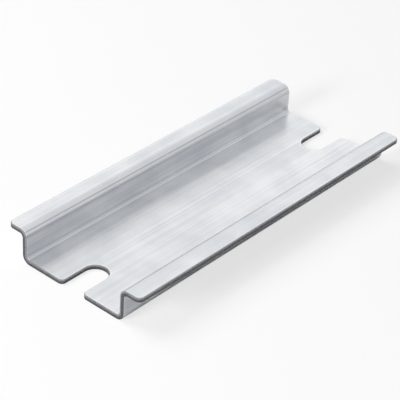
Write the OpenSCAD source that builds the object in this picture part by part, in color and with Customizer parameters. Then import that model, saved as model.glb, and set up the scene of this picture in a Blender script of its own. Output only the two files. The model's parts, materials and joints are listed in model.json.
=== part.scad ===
// Short top-hat mounting rail (35 mm wide, 7.5 mm high), roll-formed from one strip of
// zinc-plated steel, with an open screw slot in each end.
// The rail lies on its base: X runs along it, Y across it and Z up. The origin is on the
// underside of the base, midway between the ends and between the flanges.

/* [Rail] */
// Length of the rail
rail_length = 80; // [40:1:400]
// Width across both flanges
rail_width = 35; // [32:0.5:45]
// Height from the underside of the base to the top of the flanges
rail_height = 7.5; // [6:0.5:15]
// Width of the channel, measured over the outside of its two webs
channel_width = 27; // [20:0.5:30]
// Thickness of the steel strip
strip_thickness = 1; // [0.8:0.1:1.5]
// Inside radius of each of the four bends
bend_radius = 0.8; // [0.4:0.1:1.2]

/* [End slots] */
// Width of each slot, to clear an M5 screw
slot_width = 5.4; // [4:0.1:8]
// Depth of each slot, from the end of the rail to the crown of the slot's round end
slot_depth = 9; // [6:0.5:18]
// Radius of the two corners at each slot's mouth
mouth_radius = 1; // [0.2:0.1:2]

/* [Corners] */
// Radius of the four flange corners, seen from above
corner_radius = 1.2; // [0.2:0.1:2]

/* [Hidden] */
// Facets on every round
$fn = 64;
// How far a cutter runs past the faces it cuts
cut_margin = 1;
// The channel's half width, between the webs
half_channel = channel_width / 2 - strip_thickness;
// Radius on the outside of each bend
outer_radius = bend_radius + strip_thickness;
// Where the flat of each flange starts, from the rail's centre line
flange_start = half_channel + outer_radius;
slot_radius = slot_width / 2;

// A quarter of a ring, right of its centre and above it: the strip where it is bent square.
module bend() {
    difference() {
        intersection() {
            circle(r = outer_radius);
            square(outer_radius);
        }
        circle(r = bend_radius);
    }
}

// The strip's section on one side of the centre line, drawn with Y to the right and Z up.
module half_section() {
    // base
    square([half_channel - bend_radius, strip_thickness]);
    // bend from the base up into the web
    translate([half_channel - bend_radius, outer_radius])
        mirror([0, 1]) bend();
    // web
    translate([half_channel, outer_radius])
        square([strip_thickness, rail_height - 2 * outer_radius]);
    // bend from the web out into the flange
    translate([flange_start, rail_height - outer_radius])
        mirror([1, 0]) bend();
    // flange
    translate([flange_start, rail_height - strip_thickness])
        square([rail_width / 2 - flange_start, strip_thickness]);
}

module section() {
    half_section();
    mirror([1, 0]) half_section();
}

// What rounding takes off an outside corner: the corner lies right of the round's centre
// and above it, and the waste runs past both of its edges.
module corner_waste(radius) {
    difference() {
        square(radius + cut_margin);
        circle(r = radius);
    }
}

// One end's open slot, seen from above, for the end at +X.
module slot_outline() {
    translate([rail_length / 2 - slot_depth + slot_radius, 0]) {
        circle(r = slot_radius);
        translate([0, -slot_radius])
            square([slot_depth - slot_radius + cut_margin, slot_width]);
    }
    for (side = [0, 1])
        mirror([0, side])
            translate([rail_length / 2 - mouth_radius, slot_radius + mouth_radius])
                mirror([0, 1]) corner_waste(mouth_radius);
}

// Both flange corners of the end at +X, seen from above.
module corner_outline() {
    for (side = [0, 1])
        mirror([0, side])
            translate([rail_length / 2 - corner_radius, rail_width / 2 - corner_radius])
                corner_waste(corner_radius);
}

// A vertical cutter with the outline of its child, from under the rail to above it.
module cut_through() {
    translate([0, 0, -cut_margin])
        linear_extrude(height = rail_height + 2 * cut_margin) children();
}

module rail() {
    color("gainsboro")
        difference() {
            translate([-rail_length / 2, 0, 0])
                rotate([90, 0, 90])
                    linear_extrude(height = rail_length) section();
            for (end = [0, 1])
                mirror([end, 0, 0]) {
                    cut_through() slot_outline();
                    cut_through() corner_outline();
                }
        }
}

rail();
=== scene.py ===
# %% [markdown]
# # A short top-hat mounting rail
#
# The rail is one strip of zinc-plated steel. A press punches an open slot into each end
# of the flat strip, and rollers then fold it into a channel with a flange on each side.
# This lesson makes the mesh in the same order: the flat blank first, then its sheared
# edges, then the four bends. The finish is added last, in the strip's own flat
# coordinates, so that the roll marks follow the steel round every bend.
#
# The solid model of the rail is loaded first, because every size and place follows it.
# Lengths are in metres, and MM is one millimetre.

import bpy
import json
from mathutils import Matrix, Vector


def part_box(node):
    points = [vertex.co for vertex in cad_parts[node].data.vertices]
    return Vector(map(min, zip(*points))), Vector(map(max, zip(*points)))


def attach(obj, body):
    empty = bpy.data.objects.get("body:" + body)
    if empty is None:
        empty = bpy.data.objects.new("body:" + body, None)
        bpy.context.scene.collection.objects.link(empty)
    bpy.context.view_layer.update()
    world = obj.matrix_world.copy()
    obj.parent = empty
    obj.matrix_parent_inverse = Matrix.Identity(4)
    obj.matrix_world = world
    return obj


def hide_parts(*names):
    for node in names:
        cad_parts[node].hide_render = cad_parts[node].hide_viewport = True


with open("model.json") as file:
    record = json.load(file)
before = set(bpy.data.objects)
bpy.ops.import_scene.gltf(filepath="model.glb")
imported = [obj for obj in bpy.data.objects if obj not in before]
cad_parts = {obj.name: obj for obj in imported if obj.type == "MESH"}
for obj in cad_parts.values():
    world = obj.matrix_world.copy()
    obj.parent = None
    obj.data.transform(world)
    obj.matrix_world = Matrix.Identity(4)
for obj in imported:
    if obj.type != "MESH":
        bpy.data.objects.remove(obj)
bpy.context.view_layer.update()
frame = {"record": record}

MM = 0.001

# %% [markdown]
# ## Sizes
#
# The rail is the standard top-hat section, whose steps and bends fit the feet of clip-on
# devices. Every size could be typed in again, but then the mesh and the solid could drift
# apart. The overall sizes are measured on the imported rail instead. The mount of a slot,
# which lies on the base's upper face at the centre of the slot's round end, gives the
# slots' place and the strip's thickness. The few sizes that neither of them holds, such
# as the bend radius, are named here.

# %% Name the sizes
import json
import math
from itertools import accumulate

import bmesh
import bpy
from mathutils import Matrix, Vector

low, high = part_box("rail")
rail_length = high.x - low.x
rail_width = high.y - low.y
height = high.z - low.z
half_length = rail_length / 2
half_width = rail_width / 2

mounts = {mount["name"]: mount for mount in frame["record"]["mounts"]}
slot_mount = Vector(mounts["slot_at_plus_x"]["pos_m"])
thickness = slot_mount.z - low.z

# The channel's width is measured over its two webs, and its half width between them.
channel_width = 27.0 * MM
bend_radius = 0.8 * MM
slot_width = 5.4 * MM
mouth_radius = 1.0 * MM
corner_radius = 1.2 * MM

half_channel = channel_width / 2 - thickness
slot_radius = slot_width / 2
print("rail in mm:", [round(size / MM, 2) for size in (rail_length, rail_width, height)])
print("strip thickness in mm:", round(thickness / MM, 3))

# %% [markdown]
# ## The section as a walk
#
# A folded section could be drawn as an outline with arcs, and swept along the rail. The
# slots would then have to be cut out of the sweep. It is easier to describe the section
# as a walk from its middle outwards: straight on, a turn up through 90 degrees, straight
# on, a turn back through 90 degrees, and straight on. The walk follows the middle of the
# strip's thickness, where the steel neither stretches nor shrinks, so its length is also
# half the width of the flat blank.

# %% Walk out from the middle of the base
middle_radius = bend_radius + thickness / 2
outer_radius = bend_radius + thickness
quarter_turn = math.radians(90)
# Each leg has a name, a length and a turn: 1 turns up, -1 turns back, 0 goes straight on.
legs = [
    ("base", half_channel - bend_radius, 0),
    ("lower bend", middle_radius * quarter_turn, 1),
    ("web", height - 2 * outer_radius, 0),
    ("upper bend", middle_radius * quarter_turn, -1),
    ("flange", half_width - half_channel - outer_radius, 0),
]
*leg_starts, half_blank = accumulate((length for _, length, _ in legs), initial=0)
for start, (name, length, _) in zip(leg_starts, legs):
    print(f"{name}: {length / MM:.2f} mm, from {start / MM:.2f} mm")
print("width of the flat blank in mm:", round(2 * half_blank / MM, 2))

# %% Fold one point
def fold(across, above):
    """Where a point of the flat strip goes in Y and Z.

    across is its distance from the strip's centre line, and above is its height over
    the middle of the thickness."""
    y = 0.0
    z = low.z + thickness / 2
    heading = 0.0
    left = abs(across)
    for _, length, turn in legs:
        step = min(left, length)
        if turn:
            angle = turn * step / middle_radius
            y += turn * middle_radius * (math.sin(heading + angle) - math.sin(heading))
            z -= turn * middle_radius * (math.cos(heading + angle) - math.cos(heading))
            heading += angle
        else:
            y += step * math.cos(heading)
            z += step * math.sin(heading)
        left -= step
    y -= above * math.sin(heading)
    z += above * math.cos(heading)
    return math.copysign(y, across), z


edge_y, edge_z = fold(half_blank, thickness / 2)
print("the blank's edge folds to y, z in mm:", round(edge_y / MM, 3), round(edge_z / MM, 3))

# %% [markdown]
# ## The punched blank
#
# A Boolean could punch the slots out of a plate, but it leaves no say in how their edges
# are made. The outline is drawn point by point instead. It is the same in all four
# quarters, so one quarter is drawn and mirrored. Each point keeps the direction that
# faces out of the steel, which the next step needs in order to round the edge.

# %% Draw one quarter of the outline
CROWN_STEPS = 24
ROUND_STEPS = 10


def arc(centre, radius, start, end, steps, hollow=False):
    """Points on an arc between two angles in degrees, each with its way out of the steel.

    A hollow arc is cut into the steel, so its way out is towards the centre."""
    for i in range(steps + 1):
        angle = math.radians(start + (end - start) * i / steps)
        way = Vector((math.cos(angle), math.sin(angle)))
        yield centre + radius * way, -way if hollow else way


crown_centre = Vector((slot_mount.x, 0))
crown = arc(crown_centre, slot_radius, 180, 90, CROWN_STEPS, hollow=True)
mouth_centre = Vector((half_length - mouth_radius, slot_radius + mouth_radius))
mouth = arc(mouth_centre, mouth_radius, -90, 0, ROUND_STEPS)
corner_centre = Vector((half_length - corner_radius, half_blank - corner_radius))
corner = arc(corner_centre, corner_radius, 0, 90, ROUND_STEPS)
quarter = [*crown, *mouth, *corner]
print("points in a quarter:", len(quarter))

# %% Mirror it into the whole outline
def mirrored(points, along, across):
    """The points' mirror image, where along and across are each 1 or -1."""
    flip = Matrix(((along, 0), (0, across)))
    return [(flip @ place, flip @ way) for place, way in points]


# Each crown's first point is on the centre line, so only one quarter of each end keeps it.
outline = [
    *quarter,
    *mirrored(quarter[::-1], -1, 1),
    *mirrored(quarter[1:], -1, -1),
    *mirrored(quarter[:0:-1], 1, -1),
]
print("points in the outline:", len(outline))

# %% [markdown]
# ## Sheared edges
#
# A punch doesn't leave a square edge. It first drags the face of the sheet down into a
# small round, the roll-over, and on the far side it leaves a fine edge that tumbling
# only just breaks. A Bevel modifier would round both alike. Here the edge is lofted
# instead: the outline is drawn again a little further in at each height, so the two
# sides can have different radii.

# %% Draw the profile of the edge
ROLL_OVER = 0.16 * MM
ROLL_OVER_STEPS = 4
BURR_BREAK = 0.06 * MM
BURR_BREAK_STEPS = 2


def edge_profile():
    """Pairs of inset and height, from the upper face round to the lower face."""
    for i in range(ROLL_OVER_STEPS + 1):
        angle = quarter_turn * (1 - i / ROLL_OVER_STEPS)
        above = thickness / 2 - ROLL_OVER * (1 - math.sin(angle))
        yield ROLL_OVER * (1 - math.cos(angle)), above
    for i in range(BURR_BREAK_STEPS + 1):
        angle = quarter_turn * i / BURR_BREAK_STEPS
        above = BURR_BREAK * (1 - math.sin(angle)) - thickness / 2
        yield BURR_BREAK * (1 - math.cos(angle)), above


profile = [Vector(pair) for pair in edge_profile()]
profile_steps = [(lower - upper).length for upper, lower in zip(profile, profile[1:])]
print("rings round the edge:", len(profile))
print("length of the edge's profile in mm:", round(sum(profile_steps) / MM, 3))

# %% [markdown]
# ## A map of the surface
#
# The finish is made of nodes, and another program can only show it as images. For those,
# a UV map gives every face its own place in a square. Smart UV Project could lay that map
# out on the folded rail, but it would cut the steel apart at the bends and leave the thin
# edge no room for its grain. The flat blank is its own map. Its two faces lie side by
# side, squeezed along their length, because the roll lines are fine only across the
# strip. The edge is wound above them in rows as long as the rail, like the lines of a
# text. A narrow gap keeps the colours of neighbours apart.

# %% Wind the edge into rows of the map
# Shares of the map's side: how far up the faces reach, and the gap between neighbours.
FACES_TOP = 0.91
MAP_GAP = 0.005


def edge_rows():
    """For each stretch of the outline, its row and where it starts and ends in that row."""
    row = 0
    travelled = 0.0
    for (here, _), (there, _) in zip(outline, outline[1:] + outline[:1]):
        step = (there - here).length
        if travelled + step > rail_length:
            row += 1
            travelled = 0.0
        yield row, travelled, travelled + step
        travelled += step


stretches = list(edge_rows())
row_count = stretches[-1][0] + 1
row_height = (1 - FACES_TOP) / row_count
print("rows of edge on the map:", row_count)


def edge_place(row, travelled, depth):
    """Where a point of the edge lies on the map. depth goes from 0 to 1 down the profile."""
    top = FACES_TOP + (row + 1) * row_height - MAP_GAP / 2
    return travelled / rail_length, top - depth * (row_height - MAP_GAP)


# %% Loft the outline through the profile
# The two finishes, by their place in the mesh's list of materials.
PLATED = 0
SHEARED = 1

blank = bmesh.new()
surface_map = blank.loops.layers.uv.new("OFBake")
rings = [
    [blank.verts.new((*(place - way * inset), above)) for place, way in outline]
    for inset, above in profile
]
depths = [length / sum(profile_steps) for length in accumulate(profile_steps, initial=0)]
levels = list(zip(rings, depths))
for (upper, top), (lower, bottom) in zip(levels, levels[1:]):
    for i, (row, start, end) in enumerate(stretches):
        j = (i + 1) % len(outline)
        quad = blank.faces.new((upper[i], lower[i], lower[j], upper[j]))
        quad.material_index = SHEARED
        corners = (start, top), (start, bottom), (end, bottom), (end, top)
        for loop, (travelled, depth) in zip(quad.loops, corners):
            loop[surface_map].uv = edge_place(row, travelled, depth)
print("faces round the edge:", len(blank.faces))

# %% Close it with its two faces
# Each face has half of the map's width.
FACE_SHARE = 0.5


def lay_face(corners, middle, facing):
    """Makes a face and lays it on its share of the map, turned if it faces down."""
    face = blank.faces.new(corners)
    for loop in face.loops:
        along, across, _ = loop.vert.co
        u = middle + facing * (FACE_SHARE - MAP_GAP) * along / rail_length
        v = FACES_TOP * (across / half_blank + 1) / 2
        loop[surface_map].uv = u, v


lay_face(rings[0], middle=FACE_SHARE / 2, facing=1)
lay_face(rings[-1][::-1], middle=1 - FACE_SHARE / 2, facing=-1)
print("faces of the blank:", len(blank.faces))

# %% [markdown]
# ## Scoring and folding
#
# A face can only bend where it has an edge. The blank is cut along the strip into
# narrow rows wherever it will bend, and across it every few millimetres, which keeps
# the faces well shaped. A cut that comes very near a vertex runs through it, and so
# leaves no sliver beside it. Folding then only moves vertices, by the walk above. A
# Simple Deform modifier can bend too, but only once and about one axis.

# %% Score the blank along and across
BEND_ROWS = 12
STATION = 5.0 * MM
SNAP = 0.02 * MM
ALONG = Vector((1, 0, 0))
ACROSS = Vector((0, 1, 0))


def score(way, distance):
    """Cuts every face that crosses the plane square to that way, at that distance."""
    everything = [*blank.verts, *blank.edges, *blank.faces]
    place = distance * way
    bmesh.ops.bisect_plane(blank, geom=everything, dist=SNAP, plane_co=place, plane_no=way)


def cuts(start, length, count):
    """Equally spaced places, the last one at the end of the stretch."""
    return [start + length * i / count for i in range(1, count + 1)]


# The last leg, the flange, is flat and narrow, so it stays one row.
score(ACROSS, 0)
for start, (_, length, turn) in zip(leg_starts, legs[:-1]):
    rows = BEND_ROWS if turn else max(1, round(length / STATION))
    for across in cuts(start, length, rows):
        score(ACROSS, across)
        score(ACROSS, -across)
stations = cuts(-half_length, rail_length, round(rail_length / STATION))
for along in stations[:-1]:
    score(ALONG, along)
shortest = min(edge.calc_length() for edge in blank.edges)
print("faces after scoring:", len(blank.faces))
print("shortest edge in mm:", round(shortest / MM, 3))

# %% Keep each vertex's flat place, then fold the strip
flat_layer = blank.verts.layers.float_vector.new("flat_mm")
for vertex in blank.verts:
    along, across, above = vertex.co
    vertex[flat_layer] = vertex.co / MM
    vertex.co = Vector((along, *fold(across, above)))
for face in blank.faces:
    face.smooth = True
bmesh.ops.recalc_face_normals(blank, faces=blank.faces)
print("steel in mm3:", round(blank.calc_volume() / MM**3, 1))

# %% [markdown]
# ## The rail as an object
#
# Smooth shading alone would bend the light across the flats beside every round, because
# a corner's normal is a mean of the faces round it. Weighted by area, that mean follows
# the large flat face, and the flats stay flat. The mesh then takes the solid's place.

# %% Make the object
def put_in_scene(name, data):
    """Makes an object of a mesh, a lamp or a camera, and adds it to the scene."""
    made = bpy.data.objects.new(name, data)
    bpy.context.scene.collection.objects.link(made)
    return made


rail_mesh = bpy.data.meshes.new("top_hat_rail")
blank.to_mesh(rail_mesh)
blank.free()
rail = put_in_scene("top_hat_rail", rail_mesh)
rail.modifiers.new("flats stay flat", "WEIGHTED_NORMAL")
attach(rail, "root")
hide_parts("rail")
print("vertices:", len(rail_mesh.vertices), "faces:", len(rail_mesh.polygons))

# %% [markdown]
# ## Shader maths in Python
#
# A finish is mostly arithmetic on patterns. Built node by node, it is long to write and
# hard to check. This class wraps a socket, so that `0.3 + 0.1 * streaks` adds the Math
# nodes for it. Colours are mixed with Mix nodes, because a Math node would turn them
# grey.

# %% A socket that does arithmetic
class Wire:
    """One output socket of a node tree."""

    def __init__(self, tree, socket=None):
        self.tree = tree
        self.socket = socket

    def node(self, kind, settings, values, output=0):
        """Adds a node, makes its settings, fills its sockets and returns one output."""
        made = self.tree.nodes.new(kind)
        for name, value in settings.items():
            setattr(made, name, value)
        for name, value in values.items():
            if isinstance(value, Wire):
                self.tree.links.new(value.socket, made.inputs[name])
            else:
                made.inputs[name].default_value = value
        return Wire(self.tree, made.outputs[output] if made.outputs else None)

    def math(self, operation, *numbers):
        """Adds a Math node, whose sockets are filled in order."""
        return self.node("ShaderNodeMath", {"operation": operation}, dict(enumerate(numbers)))

    def __add__(self, other):
        return self.math("ADD", self, other)

    def __radd__(self, other):
        return self.math("ADD", other, self)

    def __sub__(self, other):
        return self.math("SUBTRACT", self, other)

    def __rsub__(self, other):
        return self.math("SUBTRACT", other, self)

    def __mul__(self, other):
        return self.math("MULTIPLY", self, other)

    def __rmul__(self, other):
        return self.math("MULTIPLY", other, self)

    def __truediv__(self, other):
        return self.math("DIVIDE", self, other)

    def __pow__(self, other):
        return self.math("POWER", self, other)

    def __abs__(self):
        return self.math("ABSOLUTE", self)

    def least(self, other):
        """The smaller of two values."""
        return self.math("MINIMUM", self, other)

    def most(self, other):
        """The larger of two values."""
        return self.math("MAXIMUM", self, other)

    def rise(self, start, end):
        """0 below start, 1 above end, with a smooth rise between."""
        settings = {"interpolation_type": "SMOOTHSTEP"}
        values = {"Value": self, "From Min": start, "From Max": end}
        return self.node("ShaderNodeMapRange", settings, values)


# %% Helpers for whole materials
def mix(mask, off, on):
    """A colour between two colours.

    The node has sockets for every kind of value, so those for colours go by number."""
    factor, first, second, result = 0, 6, 7, 2
    values = {factor: mask, first: off, second: on}
    return mask.node("ShaderNodeMix", {"data_type": "RGBA"}, values, output=result)


def noise(vector, scale, detail=2.0, roughness=0.5):
    """Noise from 0 to 1. A larger scale makes it finer."""
    values = {"Vector": vector, "Scale": scale, "Detail": detail, "Roughness": roughness}
    return vector.node("ShaderNodeTexNoise", {}, values)


def bare_nodes(owner):
    """Clears the nodes of a material or a world, and returns a wire to build them with."""
    owner.use_nodes = True
    owner.node_tree.nodes.clear()
    return Wire(owner.node_tree)


def finish_metal(wire, colour, roughness, relief, strength, depth):
    """A metal shader. depth is how deep the relief is, in metres."""
    bump = {"Height": relief, "Strength": strength, "Distance": depth}
    normal = wire.node("ShaderNodeBump", {}, bump)
    metal = {"Metallic": 1.0, "Base Color": colour, "Roughness": roughness, "Normal": normal}
    shader = wire.node("ShaderNodeBsdfPrincipled", {}, metal)
    wire.node("ShaderNodeOutputMaterial", {}, {"Surface": shader})


# %% [markdown]
# ## Patterns on the strip
#
# A pattern could be laid on with the map above, but that map is squeezed, and it cuts
# the edge into rows. The strip's flat coordinates, kept as an attribute in millimetres,
# have no such breaks. Each pattern then has its size in millimetres too, and the roll
# lines run on round the bends.
#
# All the line patterns come from one noise. Two of them on the same slice through it
# would rise and fall together and add up to a hard line, so each has a slice of its own.

# %% Patterns in the strip's flat coordinates, in millimetres
def strip_coordinates(wire):
    """The flat place of a point, and its three numbers: along, across and above."""
    flat = wire.node("ShaderNodeAttribute", {"attribute_name": "flat_mm"}, {}, "Vector")
    parts = [wire.node("ShaderNodeSeparateXYZ", {}, {"Vector": flat}, name) for name in "XYZ"]
    return flat, *parts


def lines(along, across, length, pitch, slice_at, detail=2.0):
    """Noise drawn out along the strip, into lines of about that length and pitch."""
    drawn_out = {"X": along / length, "Y": across / pitch, "Z": slice_at}
    place = along.node("ShaderNodeCombineXYZ", {}, drawn_out)
    return noise(place, scale=1.0, detail=detail)


def scratches(along, across, angle, length, pitch, slice_at, rarity):
    """Short, thin scratches at one angle to the strip. More rarity leaves fewer of them."""
    cosine = math.cos(math.radians(angle))
    sine = math.sin(math.radians(angle))
    onward = cosine * along + sine * across
    sideways = cosine * across - sine * along
    marks = lines(onward, sideways, length, pitch, slice_at, detail=1.0)
    softness = 0.05
    return marks.rise(rarity, rarity + softness)


def band(distance, centre, width, softness):
    """1 within half a width of that distance from the centre line, and 0 outside."""
    away = abs(distance - centre)
    return 1 - away.rise(width / 2 - softness, width / 2 + softness)


# %% [markdown]
# ## What the rollers and the hands leave
#
# The rollers press hardest at the bends. Each bend is stretched a little duller than the
# flats beside it, and a thin dark line runs down its middle, where the roller's corner sat.
# That line is darker than a roller's mark alone, as painted shade along each fold.
# The bends' places in the strip come from the same walk that folded it.
#
# Handling and stacking polish the plating along every sheared edge. That could be
# painted by hand, but the outline is simple enough to work out how far any point lies
# from it: from the ends, from the flanges' edges and from the slots. A slot is all that
# lies within its radius of a line that runs in from the end to its round end's centre.

# %% Where the strip is bent, and how far it is to an edge, in millimetres
bend_width = middle_radius * quarter_turn / MM
bend_middles = [
    (start + length / 2) / MM for start, (_, length, turn) in zip(leg_starts, legs) if turn
]
print("middle of each bend in mm:", [round(middle, 2) for middle in bend_middles])


def along_bends(across, width, softness):
    """1 along the middle of every bend, within that width."""
    return sum(band(abs(across), middle, width, softness) for middle in bend_middles)


def inset_from_edge(along, across):
    """How far a point lies from the nearest edge of the strip."""
    to_end = half_length / MM - abs(along)
    to_side = half_blank / MM - abs(across)
    short_of_slot = (crown_centre.x / MM - abs(along)).most(0.0)
    to_slot = (short_of_slot ** 2.0 + across ** 2.0) ** 0.5 - slot_radius / MM
    return to_end.least(to_side).least(to_slot)


# %% [markdown]
# ## Bright zinc plate
#
# Plated strip is pale and satin, and no two patches of it are quite alike. One grey with
# one roughness would look like plastic. Here its colour drifts in soft clouds from the
# plating bath, crossed by roll lines of three sizes, and the same patterns stir its
# roughness and its relief, so that the sheen breaks up as it does on the real strip. In
# each sum, the number before a pattern says how strongly that pattern shows.

# %% Build the plated finish
PALE_ZINC = (0.73, 0.74, 0.755, 1)
DULL_ZINC = (0.55, 0.57, 0.60, 1)
BENT_ZINC = (0.48, 0.50, 0.53, 1)
# Partly a roller's mark, partly painted shade along each fold.
CREASE_MARK_AND_SHADE = (0.28, 0.29, 0.31, 1)
POLISHED_ZINC = (0.90, 0.90, 0.90, 1)


def zinc_plate():
    material = bpy.data.materials.new("zinc_plate")
    wire = bare_nodes(material)
    flat, along, across, _ = strip_coordinates(wire)
    clouds = noise(flat, scale=0.11, detail=3.0)
    grain = noise(flat, scale=3.5, detail=3.0, roughness=0.65)
    hair_lines = lines(along, across, length=25, pitch=0.16, slice_at=0.5)
    roll_lines = lines(along, across, length=60, pitch=0.6, slice_at=3.4)
    broad_lines = lines(along, across, length=110, pitch=2.2, slice_at=6.6)
    bent = along_bends(across, bend_width, softness=0.35)
    crease_marks_and_shade = along_bends(across, width=0.20, softness=0.06)
    ragged_inset = inset_from_edge(along, across) + 0.5 * grain
    worn = 1 - ragged_inset.rise(start=0.25, end=0.85)
    long_marks = scratches(
        along, across, angle=17, length=5.0, pitch=0.10, slice_at=9.5, rarity=0.72
    )
    short_marks = scratches(
        along, across, angle=-38, length=3.0, pitch=0.08, slice_at=12.4, rarity=0.74
    )
    marks = long_marks.most(short_marks)

    tone = 0.35 * clouds + 0.25 * broad_lines + 0.22 * roll_lines + 0.18 * hair_lines
    colour = mix(tone.rise(0.36, 0.64), DULL_ZINC, PALE_ZINC)
    colour = mix(0.35 * bent, colour, BENT_ZINC)
    # The crease line is partly a roller's mark and partly painted shade along each fold.
    colour = mix(0.60 * crease_marks_and_shade, colour, CREASE_MARK_AND_SHADE)
    colour = mix((0.45 * marks).most(0.40 * worn), colour, POLISHED_ZINC)
    satin = 0.17 + 0.10 * clouds + 0.10 * grain + 0.08 * roll_lines
    roughness = satin + 0.06 * bent - 0.08 * worn
    raised = 0.45 * hair_lines + 0.35 * roll_lines + 0.20 * grain
    relief = raised - 0.40 * marks - 0.50 * crease_marks_and_shade
    finish_metal(wire, colour, roughness, relief, strength=0.35, depth=0.012 * MM)
    return material


rail_mesh.materials.append(zinc_plate())
print("plated faces:", sum(face.material_index == PLATED for face in rail_mesh.polygons))

# %% [markdown]
# ## The sheared edge
#
# The strip was plated before it was cut, so the cut edge is bare steel. A punch shears
# the first third of the thickness smooth and bright, with fine scores straight through
# the sheet. The rest breaks away dark and grainy. Two materials could show that, but the
# border between them wavers, so one material mixes both by the height in the thickness.

# %% Build the sheared finish
BURNISHED = (0.36, 0.36, 0.37, 1)
SCORED = (0.26, 0.26, 0.27, 1)
BROKEN = (0.22, 0.22, 0.225, 1)
BROKEN_PIT = (0.10, 0.10, 0.105, 1)


def sheared_edge():
    material = bpy.data.materials.new("sheared_edge")
    wire = bare_nodes(material)
    flat, along, across, above = strip_coordinates(wire)
    grain = noise(flat, scale=5.0, detail=3.0, roughness=0.7)
    drawn_upright = {"X": 7.0 * along, "Y": 7.0 * across, "Z": 0.6 * above}
    scores = noise(wire.node("ShaderNodeCombineXYZ", {}, drawn_upright), scale=1.0)
    waver = lines(along, across, length=1.2, pitch=1.2, slice_at=15.5)
    # The smooth part begins about 0.16 mm over the middle of the thickness.
    smooth = (above + 0.25 * waver).rise(start=0.24, end=0.34)

    broken = mix(grain.rise(0.35, 0.70), BROKEN_PIT, BROKEN)
    burnished = mix(scores.rise(0.35, 0.65), SCORED, BURNISHED)
    colour = mix(smooth, broken, burnished)
    roughness = 0.52 + 0.15 * grain - 0.28 * smooth
    relief = 0.4 * smooth * scores + (1 - smooth) * grain
    finish_metal(wire, colour, roughness, relief, strength=0.5, depth=0.03 * MM)
    return material


rail_mesh.materials.append(sheared_edge())
print("sheared faces:", sum(face.material_index == SHEARED for face in rail_mesh.polygons))

# %% [markdown]
# ## A white floor
#
# Parts like this are shown on a white sweep. A bright enough lamp would turn any floor
# white, but it would burn out the zinc as well. Instead a share of the floor's colour is
# plain white that only the camera sees. The rest is ordinary matt paint, which keeps the
# rail's shadow, and it is what the zinc reflects.

# %% Paint the floor
WHITE = (1, 1, 1, 1)
MATT_PAINT = (0.90, 0.90, 0.90, 1)
WHITE_SHARE = 0.68


def white_paint():
    material = bpy.data.materials.new("white_paint")
    wire = bare_nodes(material)
    seen = wire.node("ShaderNodeLightPath", {}, {}, "Is Camera Ray")
    paint = wire.node("ShaderNodeBsdfDiffuse", {}, {"Color": MATT_PAINT})
    white = wire.node("ShaderNodeEmission", {}, {"Color": WHITE, "Strength": 1.0})
    factor, first, second = 0, 1, 2
    values = {factor: WHITE_SHARE * seen, first: paint, second: white}
    surface = wire.node("ShaderNodeMixShader", {}, values)
    wire.node("ShaderNodeOutputMaterial", {}, {"Surface": surface})
    return material


floor_paint = white_paint()
print("nodes in the floor's paint:", len(floor_paint.node_tree.nodes))

# %% Lay the floor just under the rail
FLOOR_SIDE = 4.0
FLOOR_GAP = 0.02 * MM

reach = FLOOR_SIDE / 2
floor_z = low.z - FLOOR_GAP
around = [(-1, -1), (1, -1), (1, 1), (-1, 1)]
floor_corners = [(x * reach, y * reach, floor_z) for x, y in around]
floor_mesh = bpy.data.meshes.new("floor")
floor_mesh.from_pydata(floor_corners, [], [(0, 1, 2, 3)])
floor_mesh.materials.append(floor_paint)
floor = put_in_scene("floor", floor_mesh)
print("floor in m:", FLOOR_SIDE, "square")

# %% [markdown]
# ## Light all round
#
# Metal shows what stands round it, so its brightness depends on the room more than on
# the lamps. An image of a studio could light it, but plain white serves here. The world
# is white to the camera and in reflections, and it lights the floor only dimly, so that
# the lamps can cast a shadow.

# %% Set the world
ROOM_LIGHT = 0.15

world = bpy.data.worlds.new("white_studio")
wire = bare_nodes(world)
bpy.context.scene.world = world
camera_ray, glossy_ray, clear_ray = [
    wire.node("ShaderNodeLightPath", {}, {}, ray)
    for ray in ("Is Camera Ray", "Is Glossy Ray", "Is Transmission Ray")
]
shown = camera_ray.most(glossy_ray).most(clear_ray)
strength = ROOM_LIGHT + (1 - ROOM_LIGHT) * shown
sky = wire.node("ShaderNodeBackground", {}, {"Color": WHITE, "Strength": strength})
wire.node("ShaderNodeOutputWorld", {}, {"Surface": sky})
print("light from the room:", ROOM_LIGHT, "of white")

# %% [markdown]
# ## Lamps and panels
#
# The key stands behind the rail and above it, so the space under the near flange falls
# dark and shows how deep it is, and a low lamp reaches in under the flange from the end.
# Mirrored in the zinc, either would burn a white patch into it from some side, so both
# are left out of reflections. The sheen comes from large dim panels instead, which the
# base mirrors as a slow change from one end to the other.

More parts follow.
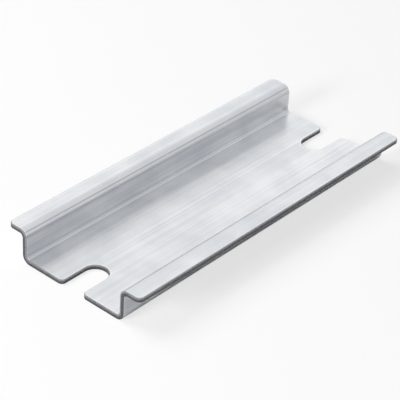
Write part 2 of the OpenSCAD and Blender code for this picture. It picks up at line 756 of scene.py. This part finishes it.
# %% Hang the lamps
def softbox(name, place, size, watts, reflected=True):
    """A square lamp that faces the rail."""
    data = bpy.data.lights.new(name, "AREA")
    data.size = size
    data.energy = watts
    lamp = put_in_scene(name, data)
    lamp.location = place
    lamp.rotation_mode = "QUATERNION"
    lamp.rotation_quaternion = place.to_track_quat("Z", "Y")
    lamp.visible_glossy = reflected
    light = watts * place.z / place.length**3 / math.pi**2
    print(f"{name} lights the floor by the rail to {light:.2f} of white")


softbox("key", Vector((-0.12, 0.46, 0.56)), size=0.45, watts=3.6, reflected=False)
softbox("low_side", Vector((-0.62, 0.06, 0.26)), size=0.20, watts=4.0, reflected=False)
for side in (1, -1):
    softbox("sheen_panel", Vector((0.60 * side, 0.50 * side, 0.40)), size=0.80, watts=0.40)

# %% [markdown]
# ## The camera
#
# A camera could be placed by hand and pointed with a Track To constraint. It is easier
# to adjust as a place round the object: how far round, how high, how far off, and how
# far rolled. Those numbers give three directions at right angles, and they are the
# columns of the camera's rotation matrix.

# %% Place the camera
AZIMUTH = -50.0
ELEVATION = 34.05
ROLL = 3.2
DISTANCE = 355.3 * MM
AIM = Vector((0.67, 3.63, 0)) * MM
LENS_MM = 155.0
SENSOR_MM = 36.0

round_angle, tilt, roll = (math.radians(angle) for angle in (AZIMUTH, ELEVATION, ROLL))
level = Vector((math.cos(round_angle), math.sin(round_angle), 0))
outward = Vector((math.sin(round_angle), -math.cos(round_angle), 0))
back = outward * math.cos(tilt) + Vector((0, 0, math.sin(tilt)))
right = level * math.cos(roll) + back.cross(level) * math.sin(roll)
axes = Matrix((right, back.cross(right), back)).transposed()

camera_data = bpy.data.cameras.new("camera")
camera_data.lens = LENS_MM
camera_data.sensor_width = SENSOR_MM
# The default, 100 mm, could cut into a part as small as this seen close up.
camera_data.clip_start = DISTANCE / 10
camera = put_in_scene("camera", camera_data)
camera.matrix_world = Matrix.Translation(AIM + back * DISTANCE) @ axes.to_4x4()
bpy.context.scene.camera = camera
bpy.context.scene.view_settings.view_transform = "Standard"
print("camera in mm:", [round(value / MM, 1) for value in camera.matrix_world.translation])
